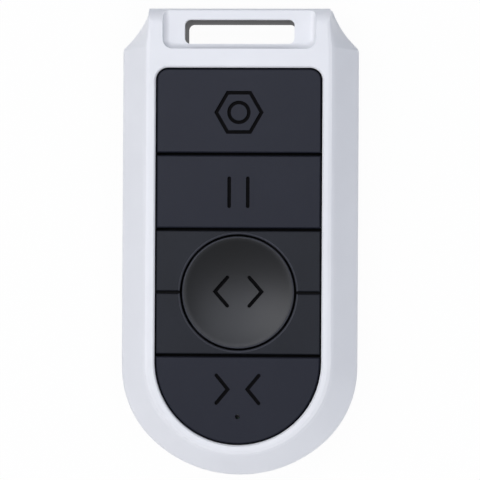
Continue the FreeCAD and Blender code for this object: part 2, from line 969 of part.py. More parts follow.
def make_centre_panel():
    """The fixed panel round the round key, split by two short grooves."""
    body = new_body("centre_panel")
    gap = size("key_gap")
    low = centre_end + gap
    high = pause_end - gap
    flange_half = window_half + size("key_flange")
    cap_half = window_half - gap
    flange = new_sketch(body, chassis_top)
    draw_loop(flange, box_loop(-flange_half, flange_half, low, high))
    pad(body, flange, ceiling - size("seat_gap") - chassis_top)
    cap = new_sketch(body, chassis_top)
    draw_loop(cap, box_loop(-cap_half, cap_half, low, high))
    pad(body, cap, key_top - chassis_top)
    bore_radius = size("round_key_diameter") / 2 + size("round_key_gap")
    bore = circles(body, key_top, [(ZERO, round_y)], bore_radius)
    pocket(body, bore, key_top - chassis_top)

    def on_bore(edge):
        box = edge.BoundBox
        return flat_at(edge, key_top) and box.XLength > FINE and box.YLength > FINE

    chamfer(body, size("round_bore_edge"), on_bore)
    clearance = size("fit_clearance")
    reach = size("tab_reach") + clearance * 2
    tab_profile = tab_sketch(body, chassis_top, reach, clearance)
    tab_pocket = pocket(body, tab_profile, flange_top + clearance - chassis_top, up=True)
    around(body, tab_pocket, tab_profile, 4)
    groove = new_sketch(body, key_top)
    half_groove = size("groove_width") / 2
    groove_low = round_y - half_groove
    groove_high = round_y + half_groove
    draw_loop(groove, box_loop(-window_half, window_half, groove_low, groove_high))
    pocket(body, groove, size("groove_depth"))
    chamfer(body, size("panel_edge"), lambda e: flat_at(e, key_top) and not on_bore(e))
    return body


def switch_places():
    return [
        ("settings", settings_y),
        ("pause", pause_y),
        ("open", round_y),
        ("close", close_y),
    ]


def make_key_chassis():
    """The black carrier under the keys, with stem holes and legs that hold the board."""
    body = new_body("key_chassis")
    margin = size("chassis_margin")
    rib_high = window_top + size("chassis_top_margin")
    plate = new_sketch(body, chassis_base)
    draw_loop(plate, window_loop(margin, rib_high))
    pad(body, plate, size("chassis_thickness"))
    rib_half = window_half - size("window_corner")
    rib = new_sketch(body, chassis_top)
    draw_loop(rib, box_loop(-rib_half, rib_half, rib_high - size("chassis_rib"), rib_high))
    pad(body, rib, ceiling - size("seat_gap") - chassis_top)
    legs = squares(body, board_top_face, post_places(), size("post_side") / 2)
    pad(body, legs, chassis_base - board_top_face)
    stem_places = [(ZERO, y) for _, y in switch_places()]
    stem_half = size("stem_side") / 2 + size("slide_clearance")
    stem_holes = squares(body, chassis_top, stem_places, stem_half)
    pocket(body, stem_holes, size("chassis_thickness"))
    light = circles(body, chassis_top, [(ZERO, light_y)], size("light_hole"))
    pocket(body, light, size("chassis_thickness"))
    return body


def make_circuit_board():
    body = new_body("circuit_board")
    inset = size("frame_wall") + size("fit_clearance") + size("lip_wall") + size("board_edge_gap")
    side = half_width - inset
    corner = corner_radius - inset
    corner_x = half_width - corner_radius
    corner_y = corner_start - half_length
    low = size("board_bottom_margin") - half_length
    drop = corner_y - low
    foot = corner_x + (corner * corner - drop * drop).root()
    outline = new_sketch(body, size("board_height"))
    draw_loop(outline, [
        (-side, corner_y, corner, 1),
        (-foot, low),
        (foot, low, corner, 1),
        (side, corner_y),
        (side, board_top),
        (-side, board_top),
    ])
    pad(body, outline, size("board_thickness"))
    pin_radius = size("pin_diameter") / 2 + size("fit_clearance")
    holes = circles(body, size("board_height"), pin_places(), pin_radius)
    pocket(body, holes, size("board_thickness"), up=True)
    return body


def block(name, length, width, height, x, y, z):
    """A box centred on x, y that stands on z."""
    box = doc.addObject("Part::Box", name)
    bind(box, "Length", length)
    bind(box, "Width", width)
    bind(box, "Height", height)
    bind(box, "Placement.Base.x", x - length / 2)
    bind(box, "Placement.Base.y", y - width / 2)
    bind(box, "Placement.Base.z", z)
    return box


def rod(name, radius, height, x, y, z):
    cylinder = doc.addObject("Part::Cylinder", name)
    bind(cylinder, "Radius", radius)
    bind(cylinder, "Height", height)
    bind(cylinder, "Placement.Base.x", x)
    bind(cylinder, "Placement.Base.y", y)
    bind(cylinder, "Placement.Base.z", z)
    return cylinder


def cut(name, base, tool):
    feature = doc.addObject("Part::Cut", name)
    feature.Base = base
    feature.Tool = tool
    return feature


def fuse(name, shapes):
    feature = doc.addObject("Part::MultiFuse", name)
    feature.Shapes = shapes
    return feature


def make_switch(key, y):
    """A low tactile switch and the plunger that its key pushes down."""
    side = size("switch_side")
    strip = size("contact_strip")
    housing = block(key + "_body", side, side, size("switch_height"), ZERO, y, board_top_face)
    foot_length = side + size("switch_foot_reach") * 2
    foot_width = size("switch_foot_width")
    feet = [
        block(f"{key}_foot_{number}", foot_length, foot_width, strip, ZERO, foot_y, board_top_face)
        for number, foot_y in enumerate((y - side / 3, y + side / 3))
    ]
    whole = fuse(key + "_moulding", [housing] + feet)
    play = size("slide_clearance")
    well_depth = size("plunger_depth") + size("key_travel") + play
    plunger_side = size("plunger_side")
    well_side = plunger_side + play * 2
    well_base = switch_top - well_depth
    well = block(key + "_well", well_side, well_side, well_depth * 2, ZERO, y, well_base)
    switch = cut(key + "_switch", whole, well)
    rise = size("plunger_depth") + size("plunger_rise")
    base = switch_top - size("plunger_depth")
    plunger = block(key + "_plunger", plunger_side, plunger_side, rise, ZERO, y, base)
    return [switch, plunger]


def make_chips():
    """The parts soldered on the board: controller, radio, crystal, capacitors and light."""
    side_x = size("chip_side_x")
    controller = block(
        "microcontroller",
        size("controller_length"),
        size("controller_width"),
        size("controller_height"),
        -side_x,
        board_top - size("controller_drop"),
        board_top_face,
    )
    radio = block(
        "radio_chip",
        size("radio_side"),
        size("radio_side"),
        size("radio_height"),
        side_x,
        board_top - size("radio_drop"),
        board_top_face,
    )
    crystal = block(
        "crystal",
        size("crystal_length"),
        size("crystal_width"),
        size("crystal_height"),
        side_x,
        board_top - size("crystal_drop"),
        board_top_face,
    )
    light = block(
        "status_light",
        size("led_length"),
        size("led_width"),
        size("led_height"),
        ZERO,
        light_y,
        board_top_face,
    )
    capacitors = doc.addObject("Part::Compound", "capacitors")
    capacitors.Links = [
        block(
            f"capacitor_{row}_{column}",
            size("capacitor_length"),
            size("capacitor_width"),
            size("capacitor_height"),
            side_x * column,
            board_top - size("capacitor_drop") - size("capacitor_pitch") * row,
            board_top_face,
        )
        for row in range(3)
        for column in (-1, 1)
    ]
    return [controller, radio, crystal, light, capacitors]


def make_antenna():
    """A flat metal strip that stands round the board's top end, open towards the keys."""
    body = new_body("antenna")
    half = half_width - size("antenna_side_margin")
    strip = size("antenna_strip")
    high = board_top - size("antenna_margin")
    low = high - size("antenna_depth")
    loop = new_sketch(body, board_top_face)
    draw_loop(loop, [
        (-half, low),
        (strip - half, low),
        (strip - half, high - strip),
        (half - strip, high - strip),
        (half - strip, low),
        (half, low),
        (half, high),
        (-half, high),
    ])
    pad(body, loop, size("antenna_height"))
    return body


def make_coin_cell():
    """The cell: a can with its rim rolled in round the smaller negative side."""
    body = new_body("coin_cell")
    base = size("rear_floor") + size("seat_gap")
    top = base + size("cell_thickness")
    edge = size("cell_edge")
    rim = top - size("cell_step")
    button = cell_radius - size("cell_step_inset")
    profile = new_sketch(body, -cell_y, role="XZ_Plane")
    draw_loop(profile, [
        (ZERO, base),
        (cell_radius, base),
        (cell_radius, rim - edge),
        (cell_radius - edge, rim),
        (button, rim),
        (button, top),
        (ZERO, top),
    ])
    can = body.newObject("PartDesign::Revolution", "Can")
    can.Profile = profile
    can.ReferenceAxis = (profile, ["V_Axis"])
    can.Angle = 360.0
    return body


def make_contacts():
    """The two spring strips under the board: one presses the cell, one its rim."""
    strip = size("contact_strip")
    board_base = size("board_height")
    touch = size("rear_floor") + size("seat_gap") * 2 + size("cell_thickness")
    negative = new_body("negative_contact")
    blade = new_sketch(negative, role="YZ_Plane")
    foot = size("contact_foot")
    near = cell_y - size("contact_width")
    tip = cell_y + foot
    draw_loop(blade, [
        (near - foot, board_base - strip),
        (near, board_base - strip),
        (cell_y, touch),
        (tip, touch),
        (tip, touch + strip),
        (cell_y, touch + strip),
        (near + strip, board_base),
        (near - foot, board_base),
    ])
    thicken(negative, blade)
    positive = new_body("positive_contact")
    clip = new_sketch(positive, role="YZ_Plane")
    leg = cell_y + cell_radius + size("seat_gap")
    clip_low = size("rear_floor") + size("cap_collar_height") + size("slide_clearance")
    draw_loop(clip, [
        (leg, clip_low),
        (leg + strip, clip_low),
        (leg + strip, board_base - strip),
        (leg + foot, board_base - strip),
        (leg + foot, board_base),
        (leg, board_base),
    ])
    thicken(positive, clip)
    return [negative, positive]


def thicken(body, sketch):
    """Pads a strip profile to both sides of the middle plane."""
    feature = body.newObject("PartDesign::Pad", "Strip")
    feature.Profile = sketch
    feature.Midplane = True
    bind(feature, "Length", size("contact_width"))


def make_screws():
    """The three housing screws, entered from the back."""
    head_radius = size("screw_head_diameter") / 2
    head_base = size("screw_head_depth")
    head_height = size("screw_head_height")
    screws = []
    for number, (x, y) in enumerate(screw_places()):
        head = rod(f"head_{number}", head_radius, head_height, x, y, head_base)
        shank_base = head_base + head_height
        shank_radius = size("screw_diameter") / 2
        shank = rod(f"shank_{number}", shank_radius, size("screw_length"), x, y, shank_base)
        screws.append(fuse(f"housing_screw_{number}", [head, shank]))
    group = doc.addObject("Part::Compound", "housing_screws")
    group.Links = screws
    return group


def build():
    nodes = [make_front_frame(), make_rear_cover(), make_battery_cap()]
    nodes += make_keys()
    nodes += [make_centre_panel(), make_key_chassis(), make_circuit_board()]
    for key, y in switch_places():
        nodes += make_switch(key, y)
    nodes += make_chips()
    nodes += [make_antenna(), make_coin_cell()]
    nodes += make_contacts()
    nodes.append(make_screws())
    doc.recompute()
    for item in doc.Objects:
        if "Invalid" in item.State or "Error" in item.State:
            raise RuntimeError(f"{item.Name} ({item.Label}) did not build: {item.State}")
    for node in nodes:
        if node.Shape.isNull() or not node.Shape.isValid():
            raise RuntimeError(f"{node.Label} has no valid shape")
    os.makedirs("parts", exist_ok=True)
    for node in nodes:
        node.Shape.exportStep(f"parts/{node.Label}.step")
        solids = len(node.Shape.Solids)
        print(f"{node.Label}: {solids} solid(s), {node.Shape.Volume:.1f} mm3")


build()
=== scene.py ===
import math

import bmesh
import bpy
from mathutils import Matrix, Vector


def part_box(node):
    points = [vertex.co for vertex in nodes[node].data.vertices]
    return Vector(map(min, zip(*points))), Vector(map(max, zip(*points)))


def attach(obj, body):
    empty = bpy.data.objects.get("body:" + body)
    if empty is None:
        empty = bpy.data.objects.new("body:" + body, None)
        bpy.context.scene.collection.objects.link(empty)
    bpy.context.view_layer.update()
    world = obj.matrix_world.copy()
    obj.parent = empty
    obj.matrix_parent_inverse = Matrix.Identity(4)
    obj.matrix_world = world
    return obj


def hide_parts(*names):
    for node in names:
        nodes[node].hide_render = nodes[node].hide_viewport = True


MM = 0.001

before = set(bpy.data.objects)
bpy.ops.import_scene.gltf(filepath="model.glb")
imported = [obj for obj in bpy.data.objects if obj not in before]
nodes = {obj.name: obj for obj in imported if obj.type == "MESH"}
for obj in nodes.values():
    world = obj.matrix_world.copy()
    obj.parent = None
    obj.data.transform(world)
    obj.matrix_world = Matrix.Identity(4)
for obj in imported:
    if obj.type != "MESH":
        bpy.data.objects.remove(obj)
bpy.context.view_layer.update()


# Colours and nodes


def colour(code):
    """A linear colour from an sRGB hex code."""
    channels = []
    for place in (0, 2, 4):
        value = int(code[place:place + 2], 16) / 255
        low = value / 12.92
        high = ((value + 0.055) / 1.055) ** 2.4
        channels.append(low if value <= 0.04045 else high)
    return (*channels, 1.0)


def per_mm(size):
    """The texture scale that gives features of this many millimetres."""
    return 1.0 / (size * MM)


def add(tree, kind, inputs=None, **settings):
    """Adds a node. An input given as a socket is linked, and any other value is set."""
    node = tree.nodes.new(kind)
    for name, value in settings.items():
        setattr(node, name, value)
    for key, value in (inputs or {}).items():
        socket = node.inputs[key]
        if isinstance(value, bpy.types.NodeSocket):
            tree.links.new(value, socket)
        else:
            socket.default_value = value
    return node


def new_material(name):
    """An empty node material."""
    material = bpy.data.materials.new(name)
    material.use_nodes = True
    material.node_tree.nodes.clear()
    return material


def output(tree, shader):
    """Ends the material's tree with this shader."""
    add(tree, "ShaderNodeOutputMaterial", {"Surface": shader.outputs[0]})


def noise(tree, size, detail=2.0, stretch=(1, 1, 1)):
    """Noise with features of this many millimetres, fixed to the piece."""
    place = add(tree, "ShaderNodeTexCoord")
    mapping = add(tree, "ShaderNodeMapping", {"Vector": place.outputs["Object"], "Scale": stretch})
    return add(
        tree,
        "ShaderNodeTexNoise",
        {"Vector": mapping.outputs[0], "Scale": per_mm(size), "Detail": detail},
    ).outputs["Fac"]


def blend(tree, share, dark, light):
    """Goes from one colour to the other as the share goes from 0 to 1."""
    ramp = add(tree, "ShaderNodeValToRGB", {"Fac": share})
    ramp.color_ramp.elements[0].position = 0.3
    ramp.color_ramp.elements[0].color = dark
    ramp.color_ramp.elements[1].position = 0.7
    ramp.color_ramp.elements[1].color = light
    return ramp.outputs[0]


def spread(tree, share, low, high):
    """Turns a share of 0 to 1 into a value between low and high."""
    ends = {"Value": share, "To Min": low, "To Max": high}
    return add(tree, "ShaderNodeMapRange", ends).outputs[0]


def relief(tree, height, depth):
    """A bump whose full height is this many millimetres."""
    return add(tree, "ShaderNodeBump", {"Height": height, "Distance": depth * MM}).outputs[0]


def moulded_plastic(name, dark, light, roughness, grain, grain_depth, gloss=0.5):
    """Injection moulded plastic: cloudy colour, spark-eroded grain and patchy sheen."""
    material = new_material(name)
    tree = material.node_tree
    cloud = noise(tree, 9.0)
    skin = noise(tree, grain, detail=3.0)
    shader = add(
        tree,
        "ShaderNodeBsdfPrincipled",
        {
            "Base Color": blend(tree, cloud, colour(dark), colour(light)),
            "Roughness": spread(tree, skin, roughness - 0.06, roughness + 0.06),
            "IOR": 1.53,
            "Specular IOR Level": gloss,
            "Normal": relief(tree, skin, grain_depth),
        },
    )
    output(tree, shader)
    return material


def plated_metal(name, dark, light, roughness, line):
    """Rolled sheet with thin plating: fine drawn lines along one way."""
    material = new_material(name)
    tree = material.node_tree
    lines = noise(tree, line, detail=1.0, stretch=(1, 0.05, 1))
    shader = add(
        tree,
        "ShaderNodeBsdfPrincipled",
        {
            "Base Color": blend(tree, lines, colour(dark), colour(light)),
            "Metallic": 1.0,
            "Roughness": spread(tree, lines, roughness - 0.05, roughness + 0.08),
            "Normal": relief(tree, lines, 0.004),
        },
    )
    output(tree, shader)
    return material


def solder_mask(name):
    """Green lacquer over copper on glass epoxy: the covered tracks show as paler lines."""
    material = new_material(name)
    tree = material.node_tree
    place = add(tree, "ShaderNodeTexCoord")
    tracks = add(
        tree,
        "ShaderNodeTexBrick",
        {
            "Vector": place.outputs["Object"],
            "Color1": colour("1c5a34"),
            "Color2": colour("1a5230"),
            "Mortar": colour("3a8352"),
            "Scale": per_mm(3.0),
            "Mortar Size": 0.05,
            "Mortar Smooth": 0.2,
        },
    )
    shader = add(
        tree,
        "ShaderNodeBsdfPrincipled",
        {
            "Base Color": tracks.outputs["Color"],
            "Roughness": spread(tree, noise(tree, 1.2), 0.22, 0.34),
            "IOR": 1.5,
            "Normal": relief(tree, tracks.outputs["Fac"], 0.02),
        },
    )
    output(tree, shader)
    return material


# Silver-white ABS of the frame, moulded in a satin tool. It is cool and even, with a soft
# sheen on its crowned edges. Its 0.06 mm grain is drawn at 0.3 mm so that it shows.
FRAME_ABS = moulded_plastic("Satin silver-white ABS", "e9eaee", "ecedf1", 0.38, 0.3, 0.002, 0.2)
# Blue-black ABS of the keys and their panel, moulded in a fine spark-eroded tool. The grain
# scatters the light into a dull sheen.
KEY_ABS = moulded_plastic("Spark-textured charcoal ABS", "1a1c26", "1c1e28", 0.5, 0.3, 0.003, 0.09)
PANEL_ABS = moulded_plastic("Spark-textured panel ABS", "16181e", "191b22", 0.5, 0.3, 0.003, 0.09)
# The same ABS in the dish of the round key, where the tool is polished, so the lamps show as a
# soft glow on its far side. Its colour is painted much darker than the keys' ABS as painted shade,
# so that the near side of the dish stays black.
SHADED_DISH_ABS = moulded_plastic("Satin charcoal ABS with painted shade", "07080b", "090a0e", 0.37, 0.3, 0.001, 0.17)
# The same ABS on the bevels round the round key, painted paler and with more sheen than the key: a
# painted highlight line where the bevels catch the lamps.
HIGHLIGHT_EDGE_ABS = moulded_plastic("ABS edge with painted highlight", "383a42", "3e4049", 0.35, 0.3, 0.001, 0.4)
# Dark grey ABS of the back, moulded with a coarser grain that hides scratches.
REAR_ABS = moulded_plastic("Grained dark grey ABS", "1d1f26", "25272f", 0.52, 0.45, 0.025, 0.2)
CAP_ABS = moulded_plastic("Grained battery cap ABS", "1b1d22", "222429", 0.50, 0.45, 0.020, 0.25)
# Black ABS of the carrier, plain and dull. The same near-black is painted on the keys' walls,
# flanges and tabs and on the panel's groove floors and flange as painted shade, so that the gaps
# round the keys look black.
CHASSIS_AND_GAP_SHADE_ABS = moulded_plastic("Plain black ABS and painted gap shade", "050506", "070709", 0.6, 0.6, 0.002, 0.04)
# Glass-filled nylon of the switch bodies: dull, with short pale fibres under the skin.
SWITCH_NYLON = moulded_plastic("Glass-filled black nylon", "161619", "232327", 0.6, 0.2, 0.006)
# Natural acetal of the plungers: creamy, slightly waxy.
PLUNGER_ACETAL = moulded_plastic("Natural acetal", "c6c1b1", "d0cbbb", 0.36, 0.4, 0.002)
# Black epoxy of the chip packages: matt from its moulding compound.
CHIP_EPOXY = moulded_plastic("Black moulded epoxy", "1c1d20", "242528", 0.62, 0.15, 0.005)
# Smoked epoxy lens of the light: a small dull glint at the bottom of its hole.
LENS_EPOXY = moulded_plastic("Smoked epoxy lens", "4a4844", "56544e", 0.2, 0.5, 0.001)
# Fired ceramic of the capacitors: dry and tan, with a fine even grain.
CAPACITOR_CERAMIC = moulded_plastic("Fired tan ceramic", "a08558", "b0946a", 0.55, 0.2, 0.004)
# Near-black matt finish on the faces cut by the engraved signs, with almost no sheen.
GROOVE_BLACK = moulded_plastic("Matt black groove finish", "040405", "060608", 0.7, 0.3, 0.002, 0.03)
# Zinc-plated steel of the screws: greyish, softly bright, with marks of the driver.
SCREW_ZINC = plated_metal("Zinc-plated steel", "8a8c90", "a2a4a8", 0.34, 0.15)
# Nickel-plated steel of the cell and of the contact strips: warm and bright.
CELL_NICKEL = plated_metal("Nickel-plated steel can", "bdbfc2", "cbccce", 0.26, 0.12)
CONTACT_NICKEL = plated_metal("Nickel-plated spring strip", "c6c5c0", "d4d3ce", 0.24, 0.10)
CRYSTAL_STEEL = plated_metal("Plated steel can", "aeb1b5", "bdc0c4", 0.3, 0.10)
# Tinned copper of the antenna strip, with the copper showing through the thin tin.
ANTENNA_COPPER = plated_metal("Tinned copper", "b5784a", "c99a72", 0.33, 0.12)
BOARD_LAMINATE = solder_mask("Green solder mask on glass epoxy")


# Signs engraved in the keys. Each is drawn in millimetres on the key face.

LINE_WIDTH = 0.62
GROOVE_DEPTH = 0.3
ROUND_STEPS = 8
CIRCLE_STEPS = 48
NUT_PLACE = 22.05
NUT_ACROSS_FLATS = 6.67
NUT_HOLE = 3.36
PAUSE_PLACE = 8.49
PAUSE_BAR_REACH = 1.58
PAUSE_HALF_LENGTH = 2.38
OPEN_PLACE = -8.40
OPEN_TIP = 3.98
OPEN_END = 1.87
OPEN_HALF_HEIGHT = 2.42
CLOSE_PLACE = -24.96
CLOSE_TIP = 1.66
CLOSE_END = 3.61
CLOSE_HALF_HEIGHT = 2.36


def unit(a, b):
    """The way from one point to the other, with length one."""
    return (Vector(b) - Vector(a)).normalized()


def stroke(points, width):
    """The outline of a line along the points, with mitred bends and round ends."""
    half = width / 2
    left, right = [], []
    for i, point in enumerate(points):
        before = unit(points[i - 1], point) if i else None
        after = unit(point, points[i + 1]) if i + 1 < len(points) else None
        way = ((before or after) + (after or before)).normalized()
        side = Vector((-way.y, way.x))
        straight = before or after
        reach = half / max(side.dot(Vector((-straight.y, straight.x))), 0.3)
        left.append(Vector(point) + side * reach)
        right.append(Vector(point) - side * reach)

    def cap(centre, way):
        start = math.atan2(way.y, way.x) - math.pi / 2
        turns = [start + math.pi * k / ROUND_STEPS for k in range(1, ROUND_STEPS)]
        return [Vector(centre) + Vector((math.cos(t), math.sin(t))) * half for t in turns]

    end = cap(points[-1], unit(points[-2], points[-1]))
    start = cap(points[0], unit(points[1], points[0]))
    return right + end + left[::-1] + start


def regular(centre, reach, count):
    """The corners of a regular form about the centre."""
    angles = [2 * math.pi * k / count for k in range(count)]
    return [Vector(centre) + Vector((math.cos(a), math.sin(a))) * reach for a in angles]


def add_prism(form, outline, low, high):
    """A closed block with this outline between two heights."""
    base = [form.verts.new((p.x * MM, p.y * MM, low)) for p in outline]
    top = [form.verts.new((p.x * MM, p.y * MM, high)) for p in outline]
    form.faces.new(base[::-1])
    form.faces.new(top)
    for i in range(len(base)):
        j = (i + 1) % len(base)
        form.faces.new((base[i], base[j], top[j], top[i]))


def add_ring_prism(form, outer, inner, low, high):
    """A closed channel between two loops with the same number of corners."""
    loops = []
    for outline in (outer, inner):
        for height in (low, high):
            loops.append([form.verts.new((p.x * MM, p.y * MM, height)) for p in outline])
    outer_low, outer_high, inner_low, inner_high = loops
    for i in range(len(outer)):
        j = (i + 1) % len(outer)
        form.faces.new((outer_low[i], outer_low[j], outer_high[j], outer_high[i]))
        form.faces.new((inner_high[i], inner_high[j], inner_low[j], inner_low[i]))
        form.faces.new((outer_high[i], outer_high[j], inner_high[j], inner_high[i]))
        form.faces.new((inner_low[i], inner_low[j], outer_low[j], outer_low[i]))


def settings_sign(form, low, high):
    """A hexagon with flat top and bottom round a circle."""
    centre = (0.0, NUT_PLACE)
    half = LINE_WIDTH / 2
    corner = NUT_ACROSS_FLATS / math.sqrt(3)
    corner_half = LINE_WIDTH / math.sqrt(3)
    outer = regular(centre, corner + corner_half, 6)
    inner = regular(centre, corner - corner_half, 6)
    add_ring_prism(form, outer, inner, low, high)
    circle = NUT_HOLE / 2
    outer = regular(centre, circle + half, CIRCLE_STEPS)
    inner = regular(centre, circle - half, CIRCLE_STEPS)
    add_ring_prism(form, outer, inner, low, high)


def pause_sign(form, low, high):
    """Two upright bars."""
    foot = PAUSE_PLACE - PAUSE_HALF_LENGTH
    head = PAUSE_PLACE + PAUSE_HALF_LENGTH
    for x in (-PAUSE_BAR_REACH, PAUSE_BAR_REACH):
        add_prism(form, stroke([(x, foot), (x, head)], LINE_WIDTH), low, high)


def add_chevrons(form, place, tip, end, half_height, low, high):
    """A chevron on each side of the middle line, given by the reach of its tip and ends."""
    for side in (-1, 1):
        points = [
            (end * side, place - half_height),
            (tip * side, place),
            (end * side, place + half_height),
        ]
        add_prism(form, stroke(points[::side], LINE_WIDTH), low, high)


def open_sign(form, low, high):
    """Two chevrons that point apart."""
    add_chevrons(form, OPEN_PLACE, OPEN_TIP, OPEN_END, OPEN_HALF_HEIGHT, low, high)


def close_sign(form, low, high):
    """Two chevrons that point at each other."""
    add_chevrons(form, CLOSE_PLACE, CLOSE_TIP, CLOSE_END, CLOSE_HALF_HEIGHT, low, high)


# Meshes


def new_piece(name, mesh):
    """An object at the origin that shows the mesh."""
    piece = bpy.data.objects.new(name, mesh)
    bpy.context.scene.collection.objects.link(piece)
    return piece


def form_mesh(name, form):
    """Turns a finished form into a mesh whose faces all look outwards."""
    mesh = bpy.data.meshes.new(name)
    bmesh.ops.recalc_face_normals(form, faces=form.faces)
    form.to_mesh(mesh)
    form.free()
    return mesh


def merged_copy(name, node):
    """A fresh mesh of a CAD node with its loose triangles joined."""
    source = nodes[node].data
    form = bmesh.new()
    corners = [form.verts.new(v.co) for v in source.vertices]
    for polygon in source.polygons:
        form.faces.new([corners[i] for i in polygon.vertices])
    bmesh.ops.remove_doubles(form, verts=form.verts, dist=0.001 * MM)
    mesh = bpy.data.meshes.new(name)
    form.to_mesh(mesh)
    form.free()
    return mesh


def crease(mesh, degrees):
    """Shades the mesh smooth, with an edge only where its faces turn by more than this."""
    form = bmesh.new()
    form.from_mesh(mesh)
    bmesh.ops.triangulate(form, faces=form.faces)
    limit = math.radians(degrees)
    for face in form.faces:
        face.smooth = True
    for edge in form.edges:
        edge.smooth = len(edge.link_faces) == 2 and edge.calc_face_angle() < limit
    form.to_mesh(mesh)
    form.free()


def finished_mesh(piece):
    """The mesh of the piece as its modifiers leave it."""
    graph = bpy.context.evaluated_depsgraph_get()
    return bpy.data.meshes.new_from_object(piece.evaluated_get(graph))


def add_inputs(tree, kinds):
    """Names the inputs of a geometry tree and gives their sockets."""
    for name, kind in kinds.items():
        tree.interface.new_socket(name, in_out="INPUT", socket_type="NodeSocket" + kind)
    return add(tree, "NodeGroupInput").outputs


def grown(piece, tree, values):
    """The plain mesh that the geometry tree makes of the piece with these values."""
    modifier = piece.modifiers.new(tree.name, "NODES")
    modifier.node_group = tree
    for item in tree.interface.items_tree:
        if item.in_out == "INPUT" and item.name in values:
            modifier[item.identifier] = values[item.name]
    mesh = finished_mesh(piece)
    piece.modifiers.clear()
    return mesh


# Round key. Reaches from its axis and depths below the key faces, in millimetres.

DISH_REACH = 9.15
DISH_DEPTH = 1.3
DISH_RINGS = 16
KEY_BEVEL = (9.31, 9.49)
BORE_BEVEL = (9.93, 10.19)
WALL_REACH = 9.4
BEVEL_DROP = 0.35
FLANGE_DROP = 0.5
NEAR_ENOUGH = 0.01

key_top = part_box("open_key")[1].z
round_key_axis = sum(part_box("open_key"), Vector()).xy / 2


def dish_tree():
    """Sinks the flat top of the round key to a shallow ball inside its rim."""
    tree = bpy.data.node_groups.new("Key dish", "GeometryNodeTree")
    given = add_inputs(tree, {
        "Key": "Geometry",
        "Rim radius": "Float",
        "Ball radius": "Float",
        "Key place": "Float",
        "Top": "Float",
        "Plastic": "Material",
    })
    tree.interface.new_socket("Dished key", in_out="OUTPUT", socket_type="NodeSocketGeometry")

    def maths(operation, *values):
        return add(
            tree,
            "ShaderNodeMath",
            dict(enumerate(values)),
            operation=operation,
        ).outputs[0]

    def height_at(reach):
        """How far the ball's surface lies from its middle plane at this reach."""
        square = maths("MULTIPLY", reach, reach)
        return maths("SQRT", maths("SUBTRACT", ball_square, square))

    ball_square = maths("MULTIPLY", given["Ball radius"], given["Ball radius"])
    place = add(tree, "GeometryNodeInputPosition").outputs[0]
    parts = add(tree, "ShaderNodeSeparateXYZ", {"Vector": place}).outputs
    along = maths("SUBTRACT", parts["Y"], given["Key place"])
    across_square = maths("MULTIPLY", parts["X"], parts["X"])
    squares = maths("ADD", across_square, maths("MULTIPLY", along, along))
    reach = maths("MINIMUM", maths("SQRT", squares), given["Rim radius"])
    drop = maths("SUBTRACT", height_at(given["Rim radius"]), height_at(reach))
    on_top = maths("COMPARE", parts["Z"], given["Top"], NEAR_ENOUGH * MM)
    moved = add(
        tree,
        "GeometryNodeSetPosition",
        {
            "Geometry": given["Key"],
            "Selection": on_top,
            "Offset": add(tree, "ShaderNodeCombineXYZ", {"Z": drop}).outputs[0],
        },
    )
    real = add(tree, "GeometryNodeRealizeInstances", {"Geometry": moved.outputs[0]})
    painted = add(
        tree,
        "GeometryNodeSetMaterial",
        {"Geometry": real.outputs[0], "Material": given["Plastic"]},
    )
    add(tree, "NodeGroupOutput", {"Dished key": painted.outputs[0]})
    return tree


def fill_with_rings(form, centre, count):
    """Closes the round opening of the mesh with rings of faces about the centre."""
    edges = [edge for edge in form.edges if edge.is_boundary]
    ring = sorted(
        {vert for edge in edges for vert in edge.verts},
        key=lambda v: math.atan2(v.co.y - centre.y, v.co.x - centre.x),
    )
    for step in range(1, count + 1):
        share = 1 - step / count
        if step < count:
            inner = [
                form.verts.new(centre + (v.co - centre) * share / (share + 1 / count))
                for v in ring
            ]
        else:
            inner = [form.verts.new(centre)] * len(ring)
        for i in range(len(ring)):
            j = (i + 1) % len(ring)
            corners = [ring[i], ring[j], inner[j], inner[i]]
            form.faces.new(corners if step < count else corners[:3])
        ring = inner


def dished_mesh(key, depth):
    """The round key's mesh with its dish turned smooth, to this depth below the rim."""
    low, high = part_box("open_key")
    rim = DISH_REACH * MM
    centre = Vector((0, (low.y + high.y) / 2, high.z))
    margin = 0.1 * MM
    form = bmesh.new()
    form.from_mesh(key.data)
    inside = [
        v for v in form.verts
        if (v.co - centre).xy.length < rim - margin and v.co.z > high.z - depth - margin
    ]
    bmesh.ops.delete(form, geom=inside, context="VERTS")
    fill_with_rings(form, centre, DISH_RINGS)
    form.to_mesh(key.data)
    form.free()
    return grown(key, dish_tree(), {
        "Rim radius": rim,
        "Ball radius": (rim ** 2 + depth ** 2) / (2 * depth),
        "Key place": centre.y,
        "Top": high.z,
        "Plastic": SHADED_DISH_ABS,
    })


def paint(mesh, material, choose):
    """Gives the faces that the test picks, by their middle, another material: here painted shade
    or a painted highlight.
    """
    mesh.materials.append(material)
    slot = len(mesh.materials) - 1
    for polygon in mesh.polygons:
        if choose(polygon.center):
            polygon.material_index = slot


def from_axis(point):
    """How far a point is from the round key's axis."""
    return (point.xy - round_key_axis).length


def paint_highlight_ring(mesh, inner, outer):
    """Paints a paler highlight on the faces of a bevel between two reaches from the round key's
    axis.
    """
    foot = key_top - BEVEL_DROP * MM
    paint(mesh, HIGHLIGHT_EDGE_ABS, lambda p: p.z > foot and inner * MM < from_axis(p) < outer * MM)


